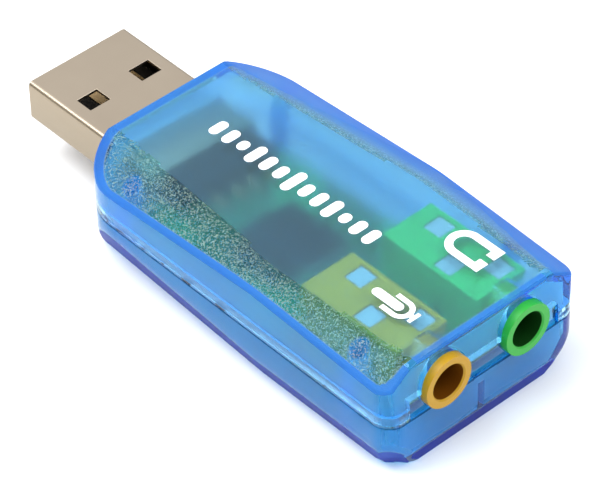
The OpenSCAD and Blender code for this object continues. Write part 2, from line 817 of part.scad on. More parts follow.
module usb_contact_1() { usb_contact(contact_rows[0]); }
module usb_contact_2() { usb_contact(contact_rows[1]); }
module usb_contact_3() { usb_contact(contact_rows[2]); }
module usb_contact_4() { usb_contact(contact_rows[3]); }
module chip_capacitor_1() { chip_part(0, 0.8, "#c8a87a"); }
module chip_resistor_1() { chip_part(1, 0.5, "#22252a"); }
module chip_capacitor_2() { chip_part(2, 0.8, "#c8a87a"); }
module chip_resistor_2() { chip_part(3, 0.5, "#22252a"); }
module chip_capacitor_3() { chip_part(4, 0.8, "#c8a87a"); }
module chip_resistor_3() { chip_part(5, 0.5, "#22252a"); }
module microphone_jack_body() { color("#e0a51a") jack_body(microphone_y); }
module microphone_sleeve_contact() { jack_contact(microphone_y, 0); }
module microphone_ring_contact() { jack_contact(microphone_y, 1); }
module microphone_tip_contact() { jack_contact(microphone_y, 2); }
module headphone_jack_body() { color("#3fc14a") jack_body(headphone_y); }
module headphone_sleeve_contact() { jack_contact(headphone_y, 0); }
module headphone_ring_contact() { jack_contact(headphone_y, 1); }
module headphone_tip_contact() { jack_contact(headphone_y, 2); }

top_cover();
bottom_cover();
usb_shell();
usb_insulator();
usb_contact_1();
usb_contact_2();
usb_contact_3();
usb_contact_4();
circuit_board();
audio_chip();
audio_chip_leads();
crystal();
crystal_leads();
capacitor();
capacitor_leads();
voltage_regulator();
regulator_leads();
chip_capacitor_1();
chip_capacitor_2();
chip_capacitor_3();
chip_resistor_1();
chip_resistor_2();
chip_resistor_3();
microphone_jack_body();
microphone_sleeve_contact();
microphone_ring_contact();
microphone_tip_contact();
headphone_jack_body();
headphone_sleeve_contact();
headphone_ring_contact();
headphone_tip_contact();
jack_solder();
plug_solder();
headphone_mark();
microphone_mark();
sound_bar_print();
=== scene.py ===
"""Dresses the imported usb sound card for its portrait.

Lengths in the classes are millimetres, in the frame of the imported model: +X runs from the plug to
the jacks, +Z points up and the base lies at zero. Meshes are written in metres.
"""

from __future__ import annotations

import logging
import math
from dataclasses import dataclass, field
from enum import Enum

import bmesh
import bpy
import numpy as np
from mathutils import Matrix, Vector

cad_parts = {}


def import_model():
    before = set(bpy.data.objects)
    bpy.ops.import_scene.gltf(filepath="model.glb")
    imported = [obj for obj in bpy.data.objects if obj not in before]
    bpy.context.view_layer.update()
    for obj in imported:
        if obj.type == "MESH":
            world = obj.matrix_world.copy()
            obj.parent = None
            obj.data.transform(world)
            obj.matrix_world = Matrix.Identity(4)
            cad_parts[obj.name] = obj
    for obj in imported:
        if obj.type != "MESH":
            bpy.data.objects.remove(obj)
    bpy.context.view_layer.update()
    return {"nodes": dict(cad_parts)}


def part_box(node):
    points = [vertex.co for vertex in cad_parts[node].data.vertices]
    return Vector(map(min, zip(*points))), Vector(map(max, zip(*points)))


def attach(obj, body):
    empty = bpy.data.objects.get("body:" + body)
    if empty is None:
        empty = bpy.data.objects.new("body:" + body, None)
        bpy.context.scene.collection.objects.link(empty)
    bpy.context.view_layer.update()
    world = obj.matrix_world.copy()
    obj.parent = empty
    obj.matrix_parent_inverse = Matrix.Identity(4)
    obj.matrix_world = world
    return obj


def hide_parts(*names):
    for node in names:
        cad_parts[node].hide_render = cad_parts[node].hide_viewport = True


LOG = logging.getLogger("sound_card")
MM = 0.001
BODY = "root"
PHOTO_WIDTH_PX = 600

# The height of a full bump, and the gap under which two points are one.
GRAIN_HEIGHT = 0.1 * MM
WELD_GAP = 0.0005 * MM

# Faces that turn less than the first angle are one, and edges that turn more than the second are sharp.
FLAT_DEGREES = 0.6
SHARP_DEGREES = 38.0

# What a coat does while its mark grows: it comes in, or it goes out.
RISING = (0.0, 1.0)
FALLING = (1.0, 0.0)


def linear(hex_colour: str) -> tuple[float, float, float, float]:
    """Turns an sRGB hex colour into Blender's linear colour.

    Args:
        hex_colour: Six hex digits after a hash sign.

    Returns:
        Red, green, blue and an alpha of one.
    """
    channels = [int(hex_colour[i : i + 2], 16) / 255 for i in (1, 3, 5)]
    values = [c / 12.92 if c <= 0.04045 else ((c + 0.055) / 1.055) ** 2.4 for c in channels]
    return (values[0], values[1], values[2], 1.0)


def add_node(
    tree: bpy.types.NodeTree,
    kind: str,
    settings: dict[str, object] | None = None,
    inputs: dict[str | int, object] | None = None,
) -> bpy.types.Node:
    """Adds one shader node with its settings and its links.

    Args:
        tree: The material's node tree.
        kind: Blender's name of the node.
        settings: Values of the node's own properties.
        inputs: For each socket's name or number, a value or another node's output.

    Returns:
        The new node.
    """
    node = tree.nodes.new(kind)
    for name, value in (settings or {}).items():
        setattr(node, name, value)
    for name, value in (inputs or {}).items():
        if isinstance(value, bpy.types.NodeSocket):
            tree.links.new(value, node.inputs[name])
        else:
            node.inputs[name].default_value = value
    return node


def layered(
    tree: bpy.types.NodeTree, ground: str, layers: list[tuple[bpy.types.NodeSocket, str]]
) -> bpy.types.NodeSocket:
    """Lays colours over a first one, each as dense as its own share.

    On a Mix node, 6 and 7 are the two colours' sockets, and 2 is the mixed colour's.

    Args:
        tree: The material's node tree.
        ground: Hex colour of the lowest layer.
        layers: Share and hex colour of each further layer, from below.

    Returns:
        The socket of the colour that is seen.
    """
    seen: tuple[float, ...] | bpy.types.NodeSocket = linear(ground)
    for share, colour in layers:
        parts = {"Factor": share, 6: seen, 7: linear(colour)}
        seen = add_node(tree, "ShaderNodeMix", {"data_type": "RGBA"}, parts).outputs[2]
    return seen


def summed(
    tree: bpy.types.NodeTree,
    start: float,
    parts: list[tuple[bpy.types.NodeSocket, float | bpy.types.NodeSocket]],
) -> bpy.types.NodeSocket:
    """Adds values, each times its own weight, to a starting value.

    Args:
        tree: The material's node tree.
        start: The starting value.
        parts: Each value with its weight.

    Returns:
        The socket of the sum.
    """
    total: float | bpy.types.NodeSocket = start
    for value, weight in parts:
        factors = {0: value, 1: weight, 2: total}
        total = add_node(tree, "ShaderNodeMath", {"operation": "MULTIPLY_ADD"}, factors).outputs[0]
    return total


def per_grain(size_mm: float) -> float:
    """Noise scale at which one grain is as large as the given size."""
    return 1.0 / (size_mm * MM)


class Grain(Enum):
    """How a surface's fine texture runs."""

    EVEN = (1.0, 1.0, 1.0)
    DRAWN_ALONG_X = (0.06, 1.0, 1.0)


@dataclass(frozen=True)
class Finish:
    """An opaque surface with cloudy colour, uneven gloss and a fine grain.

    The colour turns into the cloud's colour and back in soft patches. Grain depth is a share of
    the grain height above. A tone is the name of a mark on some faces, and the colour they take.
    """

    name: str
    colour: str
    cloud_colour: str
    roughness: float
    metallic: float = 0.0
    ior: float = 1.5
    cloud_mm: float = 3.0
    cloud_detail: float = 3.0
    grain_mm: float = 0.15
    grain_detail: float = 4.0
    grain_depth: float = 0.05
    gloss_spread: float = 0.06
    least_roughness: float = 0.02
    grain: Grain = Grain.EVEN
    tones: tuple[tuple[str, str], ...] = ()

    def build(self) -> bpy.types.Material:
        """Makes the material.

        Returns:
            A node material that reads Object coordinates and the marks of its tones.
        """
        material = bpy.data.materials.new(self.name)
        material.use_nodes = True
        tree = material.node_tree
        shader = tree.nodes["Principled BSDF"]
        place = add_node(tree, "ShaderNodeTexCoord").outputs["Object"]
        cloud = add_node(
            tree,
            "ShaderNodeTexNoise",
            inputs={"Vector": place, "Scale": per_grain(self.cloud_mm), "Detail": self.cloud_detail},
        )
        layers = [(cloud.outputs["Fac"], self.cloud_colour)]
        for mark, tone in self.tones:
            marked = add_node(tree, "ShaderNodeAttribute", {"attribute_name": mark})
            layers.append((marked.outputs["Fac"], tone))
        tree.links.new(layered(tree, self.colour, layers), shader.inputs["Base Color"])
        stretch = add_node(tree, "ShaderNodeMapping", inputs={"Vector": place, "Scale": self.grain.value})
        fine = add_node(
            tree,
            "ShaderNodeTexNoise",
            inputs={
                "Vector": stretch.outputs["Vector"],
                "Scale": per_grain(self.grain_mm),
                "Detail": self.grain_detail,
            },
        )
        gloss = add_node(
            tree,
            "ShaderNodeMapRange",
            inputs={
                "Value": fine.outputs["Fac"],
                "To Min": max(self.roughness - self.gloss_spread, self.least_roughness),
                "To Max": self.roughness + self.gloss_spread,
            },
        )
        tree.links.new(gloss.outputs["Result"], shader.inputs["Roughness"])
        bump = add_node(
            tree,
            "ShaderNodeBump",
            inputs={"Height": fine.outputs["Fac"], "Strength": self.grain_depth, "Distance": GRAIN_HEIGHT},
        )
        tree.links.new(bump.outputs["Normal"], shader.inputs["Normal"])
        shader.inputs["Metallic"].default_value = self.metallic
        if self.metallic < 1.0:
            shader.inputs["IOR"].default_value = self.ior
        return material


class Skin(Enum):
    """Marks on the case's mesh that its finish reads, each named as its attribute is.

    Frost, stipple and satin say what kind of mould surface shaped a face. Shaded foot is on the
    outer faces low down, which take a painted violet shade, and seam on those in the groove between
    the covers. Inward is how far inside the outline a point lies, in widths of the painted deep blue
    band. Bevel is how many millimetres farther out the base's bevels lie than the walls, so it is
    zero along their upper edge.
    """

    FROST = "frost"
    STIPPLE = "stipple"
    SATIN = "satin"
    SHADED_FOOT = "foot"
    SEAM = "seam"
    INWARD = "inward"
    BEVEL = "bevel"


@dataclass(frozen=True)
class ClearCaseFinish:
    """Polycarbonate, dyed blue and injection moulded.

    The outside of the walls comes from a polished mould, so it is glossy, while their inside is
    satin and hides what lies behind. The flat top comes from a finely spark-eroded mould and is
    frosted, the shoulders from a coarse one and sparkle; that sparkle is painted glints, white specks
    of milk. The dye sits in the material, so light that travels a long way inside it turns deep blue.
    Besides the dye's own absorption, that is painted on as shade: a deep blue coat over the walls'
    upper edges, where one looks down their whole height, and at a slant through the shoulders, and a
    painted violet shade in the bevels of the base. Little light leaves the groove between the covers,
    so it is a dark line. The stipple is drawn a little coarser than the real one, or it would not
    show.

    Each haze is the share of milky surface, and the colour beside it is the milk's. A slant or an
    edge is the stretch of facing, or of a mark, over which its colour comes in.
    """

    name: str = "clear_blue_polycarbonate"
    tint: str = "#fbfdff"
    stipple_tint: str = "#6cb4a6"
    dye: tuple[float, float, float] = (0.0, 0.76, 0.98)
    dye_density: float = 450.0
    ior: float = 1.52
    polished: float = 0.03
    satin: float = 0.6
    frosted: float = 0.3
    stippled: float = 0.12
    frost_grain_mm: float = 0.16
    frost_detail: float = 2.0
    frost_depth: float = 0.1
    stipple_grain_mm: float = 0.1
    stipple_depth: float = 0.3
    haze: str = "#a4ccd6"
    frost_haze: float = 0.12
    # Painted glints: white milky specks on the stippled shoulders stand in for the sparkle of their grain.
    painted_glint: str = "#d0eed4"
    painted_glint_haze: float = 0.42
    painted_glint_edge: tuple[float, float] = (0.7, 0.8)
    stipple_haze: float = 0.0
    satin_tone: str = "#18c2ff"
    satin_haze: float = 0.55
    # Painted shade: a deep blue coat over the top's outer band and at a slant through the shoulders stands in
    # for long paths through the dye.
    deep: str = "#4a8eea"
    painted_deep_band_haze: float = 0.68
    slant: tuple[float, float] = (0.35, 0.6)
    band_edge: tuple[float, float] = (0.9, 1.1)
    # Painted shade: a violet coat on the base's bevels, strongest where they are seen at a slant.
    painted_base_shade: str = "#4045a8"
    painted_base_shade_haze: float = 0.75
    painted_base_shade_slant: tuple[float, float] = (0.2, 0.58)
    painted_base_shade_least: float = 0.3
    bevel_edge: tuple[float, float] = (-0.06, 0.06)
    shade: str = "#103468"
    shade_haze: float = 0.7
    through_share: float = 0.5
    gloss: float = 0.2
    stipple_gloss: float = 0.15
    gloss_tint: str = "#94c8fa"
    lamp_share: str = "#c0c4c8"

    def build(self) -> bpy.types.Material:
        """Makes the material: a glassy surface under milky coats, around an absorbing volume.

        Returns:
            A node material that reads Object coordinates and the marks of Skin.
        """
        material = bpy.data.materials.new(self.name)
        material.use_nodes = True
        tree = material.node_tree
        marks = {
            skin: add_node(tree, "ShaderNodeAttribute", {"attribute_name": skin.value}).outputs["Fac"]
            for skin in Skin
        }
        place = add_node(tree, "ShaderNodeTexCoord").outputs["Object"]
        grain = add_node(
            tree,
            "ShaderNodeTexVoronoi",
            inputs={"Vector": place, "Scale": per_grain(self.stipple_grain_mm)},
        )
        normal = self.relief(tree, marks, place, grain.outputs["Distance"])
        glassy = self.glassy(tree, marks, normal)
        colour, share = self.coats(tree, marks, grain.outputs["Color"])
        milk = [
            add_node(tree, kind, inputs={"Color": colour, "Normal": normal}).outputs["BSDF"]
            for kind in ("ShaderNodeBsdfDiffuse", "ShaderNodeBsdfTranslucent")
        ]
        lamp = add_node(tree, "ShaderNodeBsdfTransparent", inputs={"Color": linear(self.lamp_share)})
        shadow = add_node(tree, "ShaderNodeLightPath").outputs["Is Shadow Ray"]
        milky = add_node(tree, "ShaderNodeMixShader", inputs={0: self.through_share, 1: milk[0], 2: milk[1]})
        hazy = add_node(tree, "ShaderNodeMixShader", inputs={0: share, 1: glassy, 2: milky.outputs["Shader"]})
        lit = add_node(
            tree,
            "ShaderNodeMixShader",
            inputs={0: shadow, 1: hazy.outputs["Shader"], 2: lamp.outputs["BSDF"]},
        )
        volume = add_node(
            tree,
            "ShaderNodeVolumeAbsorption",
            inputs={"Color": (*self.dye, 1.0), "Density": self.dye_density},
        )
        output = tree.nodes["Material Output"]
        tree.links.new(lit.outputs["Shader"], output.inputs["Surface"])
        tree.links.new(volume.outputs["Volume"], output.inputs["Volume"])
        return material

    def relief(
        self,
        tree: bpy.types.NodeTree,
        marks: dict[Skin, bpy.types.NodeSocket],
        place: bpy.types.NodeSocket,
        grain: bpy.types.NodeSocket,
    ) -> bpy.types.NodeSocket:
        """Bumps the frosted faces finely and the stippled faces coarsely.

        Args:
            tree: The material's node tree.
            marks: The value of each mark.
            place: Object coordinates.
            grain: Height of the stipple's grains.

        Returns:
            The socket of the bumped normal.
        """
        frost = add_node(
            tree,
            "ShaderNodeTexNoise",
            inputs={"Vector": place, "Scale": per_grain(self.frost_grain_mm), "Detail": self.frost_detail},
        )
        fine = summed(tree, 0.0, [(marks[Skin.FROST], self.frost_depth)])
        coarse = summed(tree, 0.0, [(marks[Skin.STIPPLE], self.stipple_depth)])
        first = add_node(
            tree,
            "ShaderNodeBump",
            inputs={"Height": frost.outputs["Fac"], "Strength": fine, "Distance": GRAIN_HEIGHT},
        )
        second = add_node(
            tree,
            "ShaderNodeBump",
            inputs={
                "Height": grain,
                "Strength": coarse,
                "Distance": GRAIN_HEIGHT,
                "Normal": first.outputs["Normal"],
            },
        )
        return second.outputs["Normal"]

    def glassy(
        self,
        tree: bpy.types.NodeTree,
        marks: dict[Skin, bpy.types.NodeSocket],
        normal: bpy.types.NodeSocket,
    ) -> bpy.types.NodeSocket:
        """Sets the clear surface, which each kind of mould left with its own gloss.

        Args:
            tree: The material's node tree.
            marks: The value of each mark.
            normal: The bumped normal.

        Returns:
            The socket of the clear surface.
        """
        shader = tree.nodes["Principled BSDF"]
        tint = layered(tree, self.tint, [(marks[Skin.STIPPLE], self.stipple_tint)])
        rough = summed(
            tree,
            self.polished,
            [
                (marks[Skin.FROST], self.frosted - self.polished),
                (marks[Skin.STIPPLE], self.stippled - self.polished),
                (marks[Skin.SATIN], self.satin - self.polished),
            ],
        )
        gloss = summed(tree, self.gloss, [(marks[Skin.STIPPLE], self.stipple_gloss - self.gloss)])
        tree.links.new(tint, shader.inputs["Base Color"])
        tree.links.new(rough, shader.inputs["Roughness"])
        tree.links.new(gloss, shader.inputs["Specular IOR Level"])
        tree.links.new(normal, shader.inputs["Normal"])
        shader.inputs["Transmission Weight"].default_value = 1.0
        shader.inputs["IOR"].default_value = self.ior
        shader.inputs["Specular Tint"].default_value = linear(self.gloss_tint)
        return shader.outputs["BSDF"]

    def coats(
        self,
        tree: bpy.types.NodeTree,
        marks: dict[Skin, bpy.types.NodeSocket],
        grain: bpy.types.NodeSocket,
    ) -> tuple[bpy.types.NodeSocket, bpy.types.NodeSocket]:
        """Works out the colour and the share of the milky surface, coat upon coat.

        Args:
            tree: The material's node tree.
            marks: The value of each mark.
            grain: A random colour for each grain of the stipple.

        Returns:
            The sockets of the colour and of the share.
        """
        chance = add_node(tree, "ShaderNodeSeparateColor", inputs={"Color": grain}).outputs["Red"]
        facing = add_node(tree, "ShaderNodeLayerWeight").outputs["Facing"]
        stretches = (
            (chance, self.painted_glint_edge, (self.stipple_haze, self.painted_glint_haze)),
            (facing, self.slant, RISING),
            (marks[Skin.INWARD], self.band_edge, FALLING),
            (marks[Skin.BEVEL], self.bevel_edge, RISING),
            (facing, self.painted_base_shade_slant, (self.painted_base_shade_least, 1.0)),
        )
        painted_glints, slanted, over_wall, bevelled, shaded = (
            add_node(
                tree,
                "ShaderNodeMapRange",
                inputs={
                    "Value": value,
                    "From Min": start[0],
                    "From Max": start[1],
                    "To Min": end[0],
                    "To Max": end[1],
                },
            ).outputs["Result"]
            for value, start, end in stretches
        )
        deepest = add_node(tree, "ShaderNodeMath", {"operation": "MAXIMUM"}, {0: over_wall, 1: slanted})
        shaded_bevels = add_node(tree, "ShaderNodeMath", {"operation": "MULTIPLY"}, {0: bevelled, 1: shaded})
        # Where the painted deep blue band lies: the top's outer band, and the shoulders where they are seen
        # at a slant.
        painted_deep_band = summed(
            tree, 0.0, [(marks[Skin.FROST], over_wall), (marks[Skin.STIPPLE], deepest.outputs["Value"])]
        )
        # Painted violet shade on the base's bevels, growing as they turn away from the view.
        foot = summed(tree, 0.0, [(marks[Skin.SHADED_FOOT], shaded_bevels.outputs["Value"])])
        coats = (
            (marks[Skin.FROST], self.haze, self.frost_haze),
            (marks[Skin.STIPPLE], self.painted_glint, painted_glints),
            (marks[Skin.SATIN], self.satin_tone, self.satin_haze),
            (painted_deep_band, self.deep, self.painted_deep_band_haze),
            (foot, self.painted_base_shade, self.painted_base_shade_haze),
            (marks[Skin.SEAM], self.shade, self.shade_haze),
        )
        share: float | bpy.types.NodeSocket = 0.0
        for weight, _, haze in coats:
            parts = {"Factor": weight, "A": share, "B": haze}
            share = add_node(tree, "ShaderNodeMix", inputs=parts).outputs["Result"]
        return layered(tree, self.haze, [(weight, tone) for weight, tone, _ in coats]), share


@dataclass(frozen=True)
class BoardFinish:
    """Glass-fibre laminate under green solder resist, printed, exposed and cured.

    The resist gives an even gloss, and the etched copper tracks under it show as paler, slightly
    raised lines. The tracks are bent bands, drawn coarser than real ones, or they would not show.
    """

    name: str = "green_solder_resist"
    resist: str = "#0f6b45"
    track: str = "#1d9a63"
    roughness: float = 0.3
    track_pitch_mm: float = 1.1
    bend_mm: float = 4.0
    bend: float = 6.0
    bands_a_unit: float = 20.0
    track_edge: tuple[float, float] = (0.55, 0.65)
    track_strength: float = 0.3
    track_height_mm: float = 0.04

    def build(self) -> bpy.types.Material:
        """Makes the material.

        Returns:
            A node material that reads Object coordinates only.
        """
        material = bpy.data.materials.new(self.name)
        material.use_nodes = True
        tree = material.node_tree
        shader = tree.nodes["Principled BSDF"]
        bands = add_node(
            tree,
            "ShaderNodeTexWave",
            {"wave_type": "BANDS", "bands_direction": "DIAGONAL"},
            {
                "Vector": add_node(tree, "ShaderNodeTexCoord").outputs["Object"],
                "Scale": per_grain(self.track_pitch_mm) / self.bands_a_unit,
                "Distortion": self.bend,
                "Detail": 0.0,
                "Detail Scale": self.track_pitch_mm / self.bend_mm,
            },
        )
        edge = add_node(
            tree,
            "ShaderNodeMapRange",
            inputs={
                "Value": bands.outputs["Fac"],
                "From Min": self.track_edge[0],
                "From Max": self.track_edge[1],
            },
        ).outputs["Result"]
        tree.links.new(layered(tree, self.resist, [(edge, self.track)]), shader.inputs["Base Color"])
        bump = add_node(
            tree,
            "ShaderNodeBump",
            inputs={
                "Height": edge,
                "Strength": self.track_strength,
                "Distance": self.track_height_mm * MM,
            },
        )
        tree.links.new(bump.outputs["Normal"], shader.inputs["Normal"])
        shader.inputs["Roughness"].default_value = self.roughness
        return material


class Paint:
    """Builds each finish once and hands out its material."""

    def __init__(self) -> None:
        """Starts with no material built."""
        self._made: dict[str, bpy.types.Material] = {}

    def of(self, finish: Finish | ClearCaseFinish | BoardFinish) -> bpy.types.Material:
        """Hands out a finish's material, built on first use.

        Args:
            finish: The finish.

        Returns:
            Its material.
        """
        if finish.name not in self._made:
            self._made[finish.name] = finish.build()
        return self._made[finish.name]


CLEAR_CASE = ClearCaseFinish()
BOARD = BoardFinish()

# Steel strip, rolled, nickel plated and folded into a box: a warm satin metal whose fine lines run
# along the strip, with painted shade on the two flanks.
PLUG_NICKEL = Finish(
    "nickel_plated_steel_plug",
    "#bfb2a0",
    "#b4a695",
    0.3,
    metallic=1.0,
    cloud_mm=6.0,
    grain_mm=0.3,
    grain_depth=0.02,
    gloss_spread=0.04,
    grain=Grain.DRAWN_ALONG_X,
    tones=(("shaded_flank", "#a0937f"),),
)

# Nylon with glass fibre, injection moulded: a dull black with a fine grain.
INSULATOR = Finish("black_nylon", "#0e0f11", "#151619", 0.5, ior=1.35, cloud_mm=2.0, grain_mm=0.1)

# Copper alloy, stamped, nickel plated and flashed with gold: a pale yellow shine.
GOLD = Finish(
    "gold_flash_on_nickel", "#cdbd9c", "#c3b08c", 0.3, metallic=1.0, cloud_mm=1.0, grain_depth=0.02
)

# Epoxy filled with silica, pressed into a mould: a matt, slightly gritty black.
EPOXY = Finish(
    "black_epoxy", "#0c0d0f", "#141518", 0.6, ior=1.3, cloud_mm=1.5, grain_mm=0.08, grain_depth=0.12
)

# Leads and a drawn can, electroplated with tin: a soft grey shine.
TINNED = Finish(
    "tinned_metal", "#c9ccd0", "#b7babf", 0.3, metallic=1.0, cloud_mm=1.2, grain_depth=0.04
)

# Resin, moulded round a pressed tantalum block: a satin ochre.
RESIN = Finish("moulded_tantalum_resin", "#cf8f2e", "#c07f24", 0.4, cloud_mm=1.5, grain_depth=0.06)

# Ceramic in thin layers, fired: a dull brown with a very fine grain.
CERAMIC = Finish("fired_ceramic", "#a8835a", "#997550", 0.5, cloud_mm=0.8, grain_mm=0.05)

# Tin solder, melted and set: a bright metal that is slightly rippled.
SOLDER = Finish("solder", "#c4c7ca", "#b0b3b6", 0.2, metallic=1.0, cloud_mm=0.7, grain_depth=0.03)

# ABS, coloured in the mass and injection moulded: a satin surface with painted shade on the nose,
# which the lamps light directly while the body lies under the case, and deeper painted shade in the
# bore, where little light comes back out.
YELLOW_JACK = Finish(
    "yellow_abs",
    "#d8a81c",
    "#cc9c18",
    0.4,
    ior=1.4,
    cloud_mm=2.5,
    grain_mm=0.12,
    tones=(("nose", "#b08600"), ("bore", "#6a3c02")),
)
# Like the yellow jack: painted shade on the nose, and deeper painted shade in the bore.
GREEN_JACK = Finish(
    "green_abs",
    "#3ccb62",
    "#33bd57",
    0.4,
    ior=1.4,
    cloud_mm=2.5,
    grain_mm=0.12,
    tones=(("nose", "#28a034"), ("bore", "#0a3c0e")),
)

# Spring bronze, stamped and tinned: a pale metal, so dulled with oxide that it is half a mirror.
SPRING = Finish(
    "tinned_spring_bronze", "#ccd4da", "#bcc6ce", 0.4, metallic=0.35, cloud_mm=1.2, grain_depth=0.04
)

# Two-part ink, pad printed: a flat white, a little uneven.
PAD_PRINT = Finish(
    "white_pad_print", "#fbfcfd", "#eff2f4", 0.6, cloud_mm=0.8, grain_mm=0.08, grain_depth=0.15
)

# Uncoated card: a flat pale ground.
PALE_FLOOR = Finish(
    "pale_card",
    "#f6f6f7",
    "#f4f5f6",
    0.75,
    cloud_mm=60.0,
    grain_mm=1.0,
    grain_depth=0.02,
    gloss_spread=0.03,
)


@dataclass
class CaseForm:
    """The case's outer form: a rounded block whose sides are cut by flat facets.

    Every face is a signed distance that is negative inside. Two faces meet in a rounded edge.
    Triples are flat widths, or drops below the top, at the rear, at the crease and at the front.
    The end bevel is its depth and height, and the base corner its width and rise. How the rays,
    the spine and the rings find the skin is told in half().
    """

    rear: float
    front: float
    half_width: float
    top: float
    joint: float = 6.0
    plug_corner: float = 5.3
    jack_corner: float = 2.0
    crease: float = 24.6
    top_flats: tuple[float, float, float] = (13.8, 17.9, 16.6)
    shoulder_drops: tuple[float, float, float] = (2.6, 1.0, 1.9)
    base_flats: tuple[float, float, float] = (18.4, 20.5, 20.3)
    base_rise: float = 2.8
    end_lean: float = 0.5
    end_bevel: tuple[float, float] = (0.45, 1.9)
    base_corner: tuple[float, float] = (1.9, 3.2)
    edge_radius: float = 0.28
    joint_radius: float = 0.1
    arc_stations: int = 24
    station_gap: float = 0.9
    rings: int = 46
    trial_rays: int = 601
    ring_length: float = 2.5
    ring_bend: float = 9.0
    least_ring: float = 1e-4
    least_step: float = 1e-6
    reach_insets: tuple[float, float] = (6.0, 3.0)
    reaches: tuple[float, float] = (4.2, 1.4)
    spine_inset: float = 9.0
    spine_width: float = 0.02
    ray_length: float = 16.0
    halvings: int = 26
    facets_up: list[tuple[np.ndarray, np.ndarray]] = field(default_factory=list)
    facets_down: list[tuple[np.ndarray, np.ndarray]] = field(default_factory=list)
    facets_end: list[tuple[np.ndarray, np.ndarray]] = field(default_factory=list)

    def __post_init__(self) -> None:
        """Works out the facets' planes from their corner points."""
        stations = (self.rear, self.rear + self.crease, self.front)
        high = [np.array([x, w / 2, self.top]) for x, w in zip(stations, self.top_flats)]
        side = [np.array([x, self.half_width, self.top - d]) for x, d in zip(stations, self.shoulder_drops)]
        low = [np.array([x, w / 2, 0.0]) for x, w in zip(stations, self.base_flats)]
        low_side = np.array([stations[1], self.half_width, self.base_rise])
        up = np.array([0.0, 1.0, 1.0])
        down = np.array([0.0, 1.0, -1.0])
        self.facets_up = [
            self.plane(high[0], high[1], side[1], up),
            self.plane(high[0], side[1], side[0], up),
            self.plane(high[1], side[1], high[2], up),
            self.plane(side[1], high[2], side[2], up),
        ]
        depth, height = self.end_bevel
        width, rise = self.base_corner
        edge = self.front - depth
        middle_of_arc = math.radians(45)
        inward = self.jack_corner * (1 - math.cos(middle_of_arc))
        self.facets_down = [
            self.plane(low[0], low[1], low_side, down),
            self.plane(low[1], low[2], low_side, down),
            self.plane(
                np.array([edge - width, self.base_flats[2] / 2, 0.0]),
                np.array([edge, self.base_flats[2] / 2 - width, 0.0]),
                np.array([self.front - inward, self.half_width - inward, rise]),
                down,
            ),
        ]
        lean = math.atan(self.end_lean / (self.top - self.joint))
        bevel = math.atan(depth / height)
        self.facets_end = [
            (np.array([self.front, 0.0, self.joint]), np.array([math.cos(lean), 0.0, math.sin(lean)])),
            (np.array([self.front, 0.0, height]), np.array([math.cos(bevel), 0.0, -math.sin(bevel)])),
        ]

    @staticmethod
    def plane(a: np.ndarray, b: np.ndarray, c: np.ndarray, hint: np.ndarray) -> tuple[np.ndarray, np.ndarray]:
        """Works out the plane through three points.

        Args:
            a: The first point.
            b: The second point.
            c: The third point.
            hint: A direction on the side that the normal is to point to.

        Returns:
            The first point and the unit normal.
        """
        normal = np.cross(b - a, c - a)
        normal = normal / np.linalg.norm(normal)
        return a, normal if normal @ hint > 0 else -normal

    def outline_distance(self, points: np.ndarray) -> np.ndarray:
        """Distance to the plan outline, a rectangle whose two ends have their own corner radius.

        Formula: with q the distance beyond the corner circle's centre on each axis, the distance
        is the length of the positive part of q plus the larger q where both are negative, less
        the radius.

        Args:
            points: Positions in millimetres, the last axis being X, Y and Z.

        Returns:
            The distance of each point, negative inside.
        """
        middle = (self.rear + self.front) / 2
        radius = np.where(points[..., 0] < middle, self.plug_corner, self.jack_corner)
        qx = np.abs(points[..., 0] - middle) - (self.front - self.rear) / 2 + radius
        qy = np.abs(points[..., 1]) - self.half_width + radius
        outside = np.hypot(np.maximum(qx, 0), np.maximum(qy, 0))
        return outside + np.minimum(np.maximum(qx, qy), 0) - radius

    def facet_distance(self, points: np.ndarray, facets: list[tuple[np.ndarray, np.ndarray]]) -> np.ndarray:
        """Largest signed distance to a set of facets, taken on the side of positive Y.

        Args:
            points: Positions in millimetres, the last axis being X, Y and Z.
            facets: A point and the unit normal of each facet.

        Returns:
            The distance of each point, negative inside.
        """
        folded = points.copy()
        folded[..., 1] = np.abs(folded[..., 1])
        return np.max([(folded - a) @ n for a, n in facets], axis=0)

    def distance(self, points: np.ndarray, joint_side: int) -> np.ndarray:
        """Signed distance to one half of the case, with rounded edges.

        Formula: with r the edge radius and d each face's distance, the rounded meeting is the
        length of all the positive parts of d + r, less r, and far inside it is the largest d.

        Args:
            points: Positions in millimetres, the last axis being X, Y and Z.
            joint_side: +1 for the half above the joint, -1 for the half below it.

        Returns:
            The distance of each point, negative inside.
        """
        whole = rounded_meeting(self.faces(points), self.edge_radius)
        cut = (self.joint - points[..., 2]) * joint_side
        return rounded_meeting([whole, cut], self.joint_radius)

    def faces(self, points: np.ndarray) -> list[np.ndarray]:
        """Signed distances to the walls, the shoulders, the base facets, the top and the base.

        Args:
            points: Positions in millimetres, the last axis being X, Y and Z.

        Returns:
            One array of distances for each kind of face.
        """
        return [
            np.maximum(self.outline_distance(points), self.facet_distance(points, self.facets_end)),
            self.facet_distance(points, self.facets_up),
            self.facet_distance(points, self.facets_down),
            points[..., 2] - self.top,
            -points[..., 2],
        ]

    def distance_sharp(self, points: np.ndarray) -> np.ndarray:
        """Signed distance to the case with sharp edges: the largest of the faces' distances."""
        return np.max(self.faces(points), axis=0)

